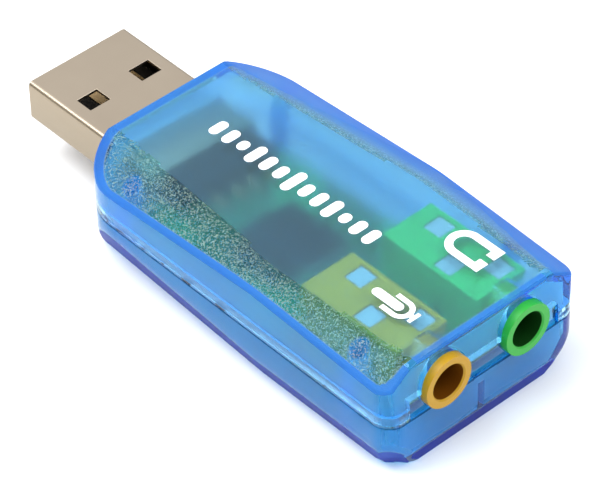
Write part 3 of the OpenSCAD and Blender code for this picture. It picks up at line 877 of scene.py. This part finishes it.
    def outline(self, inset: float) -> tuple[np.ndarray, np.ndarray]:
        """Stations round the plan outline, close together on the corner arcs.

        Args:
            inset: How far inside the true outline the stations lie.

        Returns:
            Plan points and outward normals, both as rows of X and Y, counter-clockwise.
        """
        arcs = [
            (self.front, 1, self.jack_corner, 0.0),
            (self.rear, 1, self.plug_corner, 90.0),
            (self.rear, -1, self.plug_corner, 180.0),
            (self.front, -1, self.jack_corner, 270.0),
        ]
        points, normals = [], []
        for end, side, radius, start in arcs:
            along = 1 if end == self.front else -1
            centre = np.array([end - along * radius, side * (self.half_width - radius)])
            angle = np.radians(start + np.linspace(0, 90, self.arc_stations))
            normal = np.stack([np.cos(angle), np.sin(angle)], 1)
            points.append(centre + normal * (radius - inset))
            normals.append(normal)
        corners = np.concatenate(points)
        directions = np.concatenate(normals)
        spread_points, spread_normals = [], []
        for here, there, normal in zip(corners, np.roll(corners, -1, 0), directions):
            steps = max(int(np.linalg.norm(there - here) / self.station_gap), 1)
            share = np.arange(steps)[:, None] / steps
            spread_points.append(here + (there - here) * share)
            spread_normals.append(np.repeat(normal[None], steps, 0))
        return np.concatenate(spread_points), np.concatenate(spread_normals)

    def half(self, joint_side: int, height: float) -> np.ndarray:
        """Grid of points on the rounded skin of one half of the case.

        Formula: round the outline, each station has a line of rays that first point down from
        the spine to a centre near the wall, then turn through a half circle about that centre,
        then point up back to the spine. Each ray meets the skin where the distance is zero. The
        centres' distance from the wall goes from the rear reach to the front one. The rays that
        are kept are evenly spaced in a measure that adds up length over the ring length and
        turning over the ring bend, in degrees, so edges get most of them.

        Args:
            joint_side: +1 for the half above the joint, -1 for the half below it.
            height: Height of the rays' starting points, inside the half.

        Returns:
            Points in millimetres, indexed by station, ring and axis.
        """
        outer, normals = self.outline(0.0)
        reach_ends = (self.rear + self.reach_insets[0], self.front - self.reach_insets[1])
        reach = np.interp(outer[:, 0], reach_ends, self.reaches)[:, None]
        centres = outer - normals * reach
        spine_x = np.clip(centres[:, 0], self.rear + self.spine_inset, self.front - self.spine_inset)
        spine = np.stack([spine_x, centres[:, 1] * self.spine_width], 1)
        trial = np.linspace(0, 3, self.trial_rays)
        skin = self.meet(*self.rays(centres, spine, normals, trial[None, :], height), joint_side)
        step = np.diff(skin, axis=1)
        length = np.linalg.norm(step, axis=2)
        unit = step / np.maximum(length, self.least_step)[..., None]
        cosine = np.clip(np.sum(unit[:, 1:] * unit[:, :-1], 2), -1, 1)
        shorter = np.minimum(length[:, 1:], length[:, :-1])
        bend = np.zeros_like(length)
        bend[:, 1:] = np.where(shorter > self.least_step, np.arccos(cosine), 0)
        rise = length / self.ring_length + bend / math.radians(self.ring_bend) + self.least_ring
        measure = np.concatenate([np.zeros((len(skin), 1)), np.cumsum(rise, axis=1)], 1)
        wanted = np.linspace(0, 1, self.rings)
        kept = np.stack([np.interp(wanted * m[-1], m, trial) for m in measure])
        return self.meet(*self.rays(centres, spine, normals, kept, height), joint_side)

    @staticmethod
    def rays(
        centres: np.ndarray,
        spine: np.ndarray,
        normals: np.ndarray,
        course: np.ndarray,
        height: float,
    ) -> tuple[np.ndarray, np.ndarray]:
        """Starting points and directions of the rays of half().

        Formula: a ray's course runs from 0 to 3. Up to 1 it slides out from the spine to the
        centre, from 1 to 2 it turns from straight down to straight up, and then it slides back.

        Args:
            centres: Plan points near the wall, one for each station.
            spine: Plan points at the middle of the case, one for each station.
            normals: Outward plan normals, one for each station.
            course: How far along its course each ray is, in one row or a row for each station.
            height: Height of all starting points.

        Returns:
            Starting points and unit directions, indexed by station, ray and axis.
        """
        slide = np.clip(np.abs(course - 1.5) - 0.5, 0, 1)
        plan = centres[:, None] + (spine - centres)[:, None] * slide[..., None]
        start = np.concatenate([plan, np.full((*plan.shape[:2], 1), height)], 2)
        turn = np.broadcast_to((np.clip(course - 1, 0, 1) - 0.5) * math.pi, plan.shape[:2])
        flat = normals[:, None] * np.cos(turn)[..., None]
        return start, np.concatenate([flat, np.sin(turn)[..., None]], 2)

    def meet(self, start: np.ndarray, along: np.ndarray, joint_side: int) -> np.ndarray:
        """Points where the rays leave the half, found by halving their length again and again.

        Args:
            start: Starting points, inside the half.
            along: Unit directions.
            joint_side: +1 for the half above the joint, -1 for the half below it.

        Returns:
            One point for each ray, indexed by station, ray and axis.
        """
        near = np.zeros(start.shape[:2])
        far = np.full(start.shape[:2], self.ray_length)
        for _ in range(self.halvings):
            middle = (near + far) / 2
            inside = self.distance(start + along * middle[..., None], joint_side) < 0
            near = np.where(inside, middle, near)
            far = np.where(inside, far, middle)
        return start + along * near[..., None]


def rounded_meeting(faces: list[np.ndarray], radius: float) -> np.ndarray:
    """Signed distance to the space inside all faces, whose edges are rounded.

    Formula: the length of the positive parts of distance plus radius, less the radius, and far
    inside the largest distance.

    Args:
        faces: One array of signed distances for each face.
        radius: Radius of the edges.

    Returns:
        The distance of each point, negative inside.
    """
    stack = np.stack(faces)
    corner = np.sqrt(np.sum(np.maximum(stack + radius, 0) ** 2, axis=0)) - radius
    return corner + np.minimum(stack.max(axis=0) + radius, 0)


def grid_object(name: str, grid: np.ndarray) -> bpy.types.Object:
    """Makes a closed mesh of a grid that runs round in its first direction.

    Each face joins two neighbouring points of a ring with the same two of the next station.

    Args:
        name: Name of the new object.
        grid: Points in millimetres, indexed by station, ring and axis.

    Returns:
        The object, with one flat face at each end of the grid.
    """
    stations, rings = grid.shape[:2]
    index = np.arange(stations * rings).reshape(stations, rings)
    here, there = index, np.roll(index, -1, 0)
    quads = np.stack([here[:, :-1], there[:, :-1], there[:, 1:], here[:, 1:]], 2).reshape(-1, 4)
    faces = quads.tolist() + [index[::-1, 0].tolist(), index[:, -1].tolist()]
    mesh = bpy.data.meshes.new(name)
    mesh.from_pydata((grid.reshape(-1, 3) * MM).tolist(), [], faces)
    mesh.update()
    made = bpy.data.objects.new(name, mesh)
    bpy.context.scene.collection.objects.link(made)
    return made


def rows(
    elements: bpy.types.bpy_prop_collection, name: str, kind: type = np.float64, width: int = 3
) -> np.ndarray:
    """Reads one property of all of a mesh's vertices, loops or faces.

    Args:
        elements: The mesh's vertices, loops or faces.
        name: Blender's name of the property.
        kind: Type of the numbers.
        width: How many numbers each element has.

    Returns:
        One row for each element.
    """
    values = np.empty(len(elements) * width, dtype=kind)
    elements.foreach_get(name, values)
    return values.reshape(-1, width)


def store_mark(mesh: bpy.types.Mesh, name: str, domain: str, values: np.ndarray) -> None:
    """Stores one number for each face or point as an attribute, which a finish can read."""
    mesh.attributes.new(name, "FLOAT", domain).data.foreach_set("value", values.astype(np.float32))


def merged_copy(node: bpy.types.Object, name: str) -> bpy.types.Object:
    """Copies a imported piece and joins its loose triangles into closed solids.

    Args:
        node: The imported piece, which stays as it is.
        name: Name of the copy.

    Returns:
        The copy, with flat regions as single faces and without stored normals.
    """
    made = bpy.data.objects.new(name, node.data.copy())
    made.data.materials.clear()
    bpy.context.scene.collection.objects.link(made)
    stored = made.data.attributes.get("custom_normal")
    if stored:
        made.data.attributes.remove(stored)
    work = bmesh.new()
    work.from_mesh(made.data)
    bmesh.ops.remove_doubles(work, verts=work.verts, dist=WELD_GAP)
    bmesh.ops.dissolve_limit(
        work,
        angle_limit=math.radians(FLAT_DEGREES),
        verts=work.verts,
        edges=work.edges,
        use_dissolve_boundaries=False,
    )
    work.to_mesh(made.data)
    work.free()
    return made


def combine(base: bpy.types.Object, other: bpy.types.Object, operation: str) -> None:
    """Joins, cuts or intersects a solid with another, which is used up.

    Args:
        base: The solid that keeps the result.
        other: The second solid.
        operation: Blender's name of the operation.
    """
    modifier = base.modifiers.new("combine", "BOOLEAN")
    modifier.operation = operation
    modifier.solver = "MANIFOLD"
    modifier.object = other
    view = bpy.context.evaluated_depsgraph_get()
    result = bpy.data.meshes.new_from_object(base.evaluated_get(view))
    base.modifiers.remove(modifier)
    base.data = result
    bpy.data.objects.remove(other)


def finish_piece(
    piece: bpy.types.Object, material: bpy.types.Material, nodes: list[str]
) -> None:
    """Gives a piece its shading, its material and its place in the frame, and reports it.

    Args:
        piece: The new piece.
        material: Its material.
        nodes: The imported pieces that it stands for.
    """
    piece.data.materials.clear()
    piece.data.materials.append(material)
    piece.data.polygons.foreach_set("use_smooth", [True] * len(piece.data.polygons))
    piece.data.set_sharp_from_angle(angle=math.radians(SHARP_DEGREES))
    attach(piece, BODY)
    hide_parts(*nodes)
    LOG.info("%s: %d faces", piece.name, len(piece.data.polygons))


@dataclass(frozen=True)
class Cover:
    """One cover of the case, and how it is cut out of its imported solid.

    The level is a height inside its half. The guard is an upright block inside the outline that
    keeps what crosses the joint: the pins of the top cover, and the lip of the bottom cover.
    """

    node: str
    joint_side: int
    level: float
    guard_inset: float
    guard_heights: tuple[float, float]


@dataclass
class Case:
    """The two clear covers, with rounded outer edges and a frosted top."""

    form: CaseForm
    paint: Paint
    covers: tuple[Cover, ...] = (
        Cover("top_cover", joint_side=1, level=8.8, guard_inset=1.6, guard_heights=(4.0, 7.5)),
        Cover("bottom_cover", joint_side=-1, level=3.0, guard_inset=0.3, guard_heights=(5.5, 9.0)),
    )
    shoulder_from_height: float = 8.6
    least_tilt: float = 0.2
    flat_tilt: float = 0.97
    skin_depth: float = 0.02
    wall: float = 1.25
    wall_slack: float = 0.08
    ceiling_tilt: float = -0.3
    side_band: float = 0.55
    foot_to_height: float = 4.5

    def mould(self, node: bpy.types.Object, cover: Cover) -> bpy.types.Object:
        """Makes one cover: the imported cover, cut by the rounded skin of its half.

        Args:
            node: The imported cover.
            cover: How it is cut.

        Returns:
            The new cover.
        """
        skin = grid_object(f"{cover.node}_skin", self.form.half(cover.joint_side, cover.level))
        combine(skin, self.guard(cover), "UNION")
        made = merged_copy(node, f"{cover.node}_moulded")
        combine(made, skin, "INTERSECT")
        return made

    def guard(self, cover: Cover) -> bpy.types.Object:
        """Makes the upright block that keeps what crosses the joint.

        Args:
            cover: The cover that it is for.

        Returns:
            The block.
        """
        plan, _ = self.form.outline(cover.guard_inset)
        levels = [np.append(plan, np.full((len(plan), 1), height), 1) for height in cover.guard_heights]
        return grid_object("guard", np.stack(levels, 1))

    def mark_skins(self, mesh: bpy.types.Mesh) -> None:
        """Marks the faces and points of a cover for its finish.

        Columns are whatever lies deeper than the wall, such as posts and ribs. The ceiling, which
        one looks through from above, stays clear.

        Args:
            mesh: The mesh of the cover.
        """
        places = rows(mesh.polygons, "center") / MM
        tilt = rows(mesh.polygons, "normal")[:, 2]
        height = places[:, 2]
        sharp = self.form.distance_sharp(places)
        outer = rounded_meeting(self.form.faces(places), self.form.edge_radius) > -self.skin_depth
        flat = outer & (tilt > self.flat_tilt) & (height > self.form.top - self.skin_depth)
        shoulder = outer & ~flat & (tilt > self.least_tilt) & (height > self.shoulder_from_height)
        inside = np.abs(sharp + self.wall) < self.wall_slack
        columns = sharp < -self.wall - self.wall_slack
        groove = self.form.joint_radius + self.skin_depth
        marks = {
            Skin.FROST: flat,
            Skin.STIPPLE: shoulder,
            Skin.SATIN: (inside & (tilt > self.ceiling_tilt)) | columns,
            Skin.SHADED_FOOT: outer & (tilt > -self.flat_tilt) & (height < self.foot_to_height),
            Skin.SEAM: (np.abs(height - self.form.joint) < groove) & (sharp > -groove),
        }
        for skin, faces in marks.items():
            store_mark(mesh, skin.value, "FACE", faces)
        corners = rows(mesh.vertices, "co") / MM
        store_mark(mesh, Skin.INWARD.value, "POINT", self.inwardness(corners))
        store_mark(mesh, Skin.BEVEL.value, "POINT", self.bevelness(corners))

    def bevelness(self, places: np.ndarray) -> np.ndarray:
        """How much farther out the bevels of the base lie than the walls, at each point.

        Formula: the largest distance to the base, its facets and the end bevel, less the largest
        distance to the outline and the end wall. It is zero along the bevels' upper edge.

        Args:
            places: Positions in millimetres, in rows.

        Returns:
            One value in millimetres for each point.
        """
        form = self.form
        facets = form.facet_distance(places, form.facets_down)
        end_bevel = form.facet_distance(places, form.facets_end[1:])
        end_wall = form.facet_distance(places, form.facets_end[:1])
        low = np.max([facets, end_bevel, -places[:, 2]], axis=0)
        return low - np.maximum(form.outline_distance(places), end_wall)

    def inwardness(self, places: np.ndarray) -> np.ndarray:
        """How far inside the outline points lie, in widths of the painted deep blue band.

        Formula: the distance inside the outline over the band's width, which goes from the sides'
        width to the ends' width as the outline's normal turns from Y to X.

        Args:
            places: Positions in millimetres, in rows.

        Returns:
            One value for each point.
        """
        inside = -self.form.outline_distance(places)
        nudge = np.array([self.skin_depth, 0.0, 0.0])
        turn = np.abs(self.form.outline_distance(places + nudge) + inside) / self.skin_depth
        return inside / (self.side_band + (self.wall - self.side_band) * np.clip(turn, 0, 1))

    def build(self, nodes: dict[str, bpy.types.Object]) -> None:
        """Makes and dresses both covers.

        Args:
            nodes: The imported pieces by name.
        """
        material = self.paint.of(CLEAR_CASE)
        for cover in self.covers:
            made = self.mould(nodes[cover.node], cover)
            self.mark_skins(made.data)
            finish_piece(made, material, [cover.node])


@dataclass(frozen=True)
class Dress:
    """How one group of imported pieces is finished: their edges eased, then painted."""

    nodes: tuple[str, ...]
    finish: Finish | BoardFinish
    slot: str
    ease_mm: float
    segments: int = 2


JACK_CONTACTS = tuple(
    f"{jack}_{part}_contact" for jack in ("microphone", "headphone") for part in ("sleeve", "ring", "tip")
)


@dataclass
class Fittings:
    """Every piece apart from the covers, with its edges eased as moulding and stamping leave them.

    A jack's bore runs along X, its offset from the middle and its height above the base. Its nose
    and bore, which take painted shade, are the faces past the nose's start whose corners all lie
    within reach of that axis.
    """

    paint: Paint
    groups: tuple[Dress, ...] = (
        Dress(("usb_shell",), PLUG_NICKEL, "nickel_plug", 0.05),
        Dress(("usb_insulator",), INSULATOR, "black_insulator", 0.06),
        Dress(tuple(f"usb_contact_{i}" for i in (1, 2, 3, 4)), GOLD, "gold_contact", 0.04),
        Dress(("circuit_board",), BOARD, "green_board", 0.03),
        Dress(("audio_chip", "voltage_regulator"), EPOXY, "black_chip", 0.07),
        Dress(tuple(f"chip_resistor_{i}" for i in (1, 2, 3)), EPOXY, "black_chip", 0.02),
        Dress(tuple(f"chip_capacitor_{i}" for i in (1, 2, 3)), CERAMIC, "ceramic", 0.03),
        Dress(
            ("audio_chip_leads", "crystal_leads", "capacitor_leads", "regulator_leads"),
            TINNED,
            "tinned_metal",
            0.02,
        ),
        Dress(("crystal",), TINNED, "tinned_metal", 0.3, segments=4),
        Dress(("capacitor",), RESIN, "capacitor_resin", 0.06),
        Dress(("microphone_jack_body",), YELLOW_JACK, "yellow_jack_plastic", 0.14, segments=3),
        Dress(("headphone_jack_body",), GREEN_JACK, "green_jack_plastic", 0.14, segments=3),
        Dress(JACK_CONTACTS, SPRING, "tinned_metal", 0.05),
        Dress(("jack_solder", "plug_solder"), SOLDER, "solder", 0.08, segments=3),
        Dress(("headphone_mark", "microphone_mark", "sound_bar_print"), PAD_PRINT, "white_print", 0.02),
    )
    eased_degrees: float = 32.0
    shaded_flank_tilt: float = 0.7
    bore_sides: dict[str, int] = field(
        default_factory=lambda: {"microphone_jack_body": -1, "headphone_jack_body": 1}
    )
    bore_offset: float = 4.77
    bore_height: float = 8.12
    bore_reach: float = 1.9
    nose_reach: float = 3.4
    nose_start: float = 19.0

    def mark_shaded_flanks(self, mesh: bpy.types.Mesh) -> None:
        """Marks the faces that point along Y, which take a painted shade."""
        shaded_flanks = np.abs(rows(mesh.polygons, "normal")[:, 1]) > self.shaded_flank_tilt
        store_mark(mesh, "shaded_flank", "FACE", shaded_flanks)

    def mark_jack(self, mesh: bpy.types.Mesh, side: int) -> None:
        """Marks the faces of a jack's nose, and of its bore, for their painted shade.

        Args:
            mesh: The mesh of the jack body.
            side: +1 or -1, the side of the middle that the jack sits on.
        """
        loops = rows(mesh.loops, "vertex_index", np.int32, 1)[:, 0]
        starts = rows(mesh.polygons, "loop_start", np.int32, 1)[:, 0]
        corners = rows(mesh.vertices, "co")[loops] / MM
        away = np.hypot(corners[:, 1] - side * self.bore_offset, corners[:, 2] - self.bore_height)
        farthest = np.maximum.reduceat(away, starts)
        front = np.maximum.reduceat(corners[:, 0], starts) > self.nose_start
        for name, reach in (("nose", self.nose_reach), ("bore", self.bore_reach)):
            store_mark(mesh, name, "FACE", front & (farthest < reach))

    def ease(self, piece: bpy.types.Object, group: Dress) -> None:
        """Rounds a piece's sharp edges a little.

        Args:
            piece: The piece.
            group: How its group is finished.
        """
        bevel = piece.modifiers.new("eased_edges", "BEVEL")
        bevel.width = group.ease_mm * MM
        bevel.segments = group.segments
        bevel.limit_method = "ANGLE"
        bevel.angle_limit = math.radians(self.eased_degrees)
        bevel.harden_normals = True

    def build(self, nodes: dict[str, bpy.types.Object]) -> None:
        """Makes and dresses every piece.

        Args:
            nodes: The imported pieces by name.
        """
        for group in self.groups:
            for name in group.nodes:
                piece = merged_copy(nodes[name], f"{name}_eased")
                if name in self.bore_sides:
                    self.mark_jack(piece.data, self.bore_sides[name])
                if name == "usb_shell":
                    self.mark_shaded_flanks(piece.data)
                finish_piece(piece, self.paint.of(group.finish), [name])
                self.ease(piece, group)


def view_direction(azimuth: float, elevation: float) -> Vector:
    """Unit direction from the origin towards a place given by two angles.

    Args:
        azimuth: Angle from -Y towards +X, in radians.
        elevation: Angle above the floor, in radians.

    Returns:
        The direction.
    """
    across = math.cos(elevation)
    return Vector((math.sin(azimuth) * across, -math.cos(azimuth) * across, math.sin(elevation)))


@dataclass(frozen=True)
class Viewpoint:
    """The camera of the photograph, fitted to the object's own edges. Angles are degrees."""

    azimuth: float = 48.83
    elevation: float = 42.26
    roll: float = -1.50
    place: tuple[float, float, float] = (186.1, -159.72, 225.34)
    focal_px: float = 3613.3
    sensor_mm: float = 36.0
    clip_metres: tuple[float, float] = (0.01, 10.0)

    def build(self) -> None:
        """Makes the camera and sets it as the scene's own."""
        a, e, r = (math.radians(v) for v in (self.azimuth, self.elevation, self.roll))
        back = view_direction(a, e)
        level = Vector((math.cos(a), math.sin(a), 0.0))
        upright = back.cross(level)
        right = level * math.cos(r) + upright * math.sin(r)
        up = upright * math.cos(r) - level * math.sin(r)
        data = bpy.data.cameras.new("photo_camera")
        data.sensor_width = self.sensor_mm
        data.lens = self.focal_px / PHOTO_WIDTH_PX * self.sensor_mm
        data.clip_start, data.clip_end = self.clip_metres
        camera = bpy.data.objects.new("photo_camera", data)
        turned = Matrix((right, up, back)).transposed().to_4x4()
        camera.matrix_world = Matrix.Translation(Vector(self.place) * MM) @ turned
        bpy.context.scene.collection.objects.link(camera)
        bpy.context.scene.camera = camera


@dataclass(frozen=True)
class SoftBox:
    """One soft studio light that faces the object. Angles are degrees, and lengths are metres."""

    name: str
    azimuth: float
    elevation: float
    distance: float
    size: float
    watts: float

    def build(self) -> None:
        """Makes the light, turned towards the origin."""
        away = view_direction(math.radians(self.azimuth), math.radians(self.elevation))
        data = bpy.data.lights.new(self.name, "AREA")
        data.shape = "SQUARE"
        data.size = self.size
        data.energy = self.watts
        light = bpy.data.objects.new(self.name, data)
        turned = away.to_track_quat("Z", "Y").to_matrix().to_4x4()
        light.matrix_world = Matrix.Translation(away * self.distance) @ turned
        bpy.context.scene.collection.objects.link(light)


@dataclass
class Studio:
    """A pale floor, an even sky and soft lights.

    The floor lies a gap below the object, so that the two never share a plane, and its half width
    is in metres. The sky dims towards the horizon, between two heights that are sines of the angle
    above it.
    """

    paint: Paint
    floor_half: float = 1.5
    floor_gap: float = 0.02
    sky: str = "#ffffff"
    sky_strength: float = 1.0
    horizon: float = 0.35
    dim_below: float = 0.12
    bright_above: float = 0.5
    lights: tuple[SoftBox, ...] = (
        SoftBox("key", azimuth=-40.0, elevation=62.0, distance=0.6, size=0.35, watts=3.2),
        SoftBox("fill", azimuth=120.0, elevation=45.0, distance=0.7, size=0.5, watts=2.0),
    )

    def build(self) -> None:
        """Makes the floor, the sky and the lights."""
        self.build_floor()
        self.build_sky()
        for light in self.lights:
            light.build()
        bpy.context.scene.view_settings.view_transform = "Standard"

    def build_floor(self) -> None:
        """Makes the floor, one large face."""
        signs = ((-1, -1), (1, -1), (1, 1), (-1, 1))
        corners = [(x * self.floor_half, y * self.floor_half, -self.floor_gap * MM) for x, y in signs]
        mesh = bpy.data.meshes.new("floor")
        mesh.from_pydata(corners, [], [(0, 1, 2, 3)])
        mesh.materials.append(self.paint.of(PALE_FLOOR))
        floor = bpy.data.objects.new("floor", mesh)
        bpy.context.scene.collection.objects.link(floor)

    def build_sky(self) -> None:
        """Makes the sky, which is darker at the horizon than above."""
        world = bpy.data.worlds.new("even_sky")
        world.use_nodes = True
        tree = world.node_tree
        back = tree.nodes["Background"]
        back.inputs["Color"].default_value = linear(self.sky)
        towards = add_node(tree, "ShaderNodeTexCoord").outputs["Generated"]
        height = add_node(tree, "ShaderNodeSeparateXYZ", inputs={"Vector": towards}).outputs["Z"]
        glow = add_node(
            tree,
            "ShaderNodeMapRange",
            {"interpolation_type": "SMOOTHSTEP"},
            {
                "Value": height,
                "From Min": self.dim_below,
                "From Max": self.bright_above,
                "To Min": self.sky_strength * self.horizon,
                "To Max": self.sky_strength,
            },
        )
        tree.links.new(glow.outputs["Result"], back.inputs["Strength"])
        bpy.context.scene.world = world


def main() -> None:
    """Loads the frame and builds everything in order."""
    logging.basicConfig(level=logging.INFO, format="%(name)s %(message)s")
    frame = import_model()
    nodes = frame["nodes"]
    paint = Paint()
    Viewpoint().build()
    Studio(paint).build()
    low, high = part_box("top_cover")
    form = CaseForm(low.x / MM, high.x / MM, high.y / MM, high.z / MM)
    Case(form, paint).build(nodes)
    Fittings(paint).build(nodes)


if __name__ == "__main__":
    main()
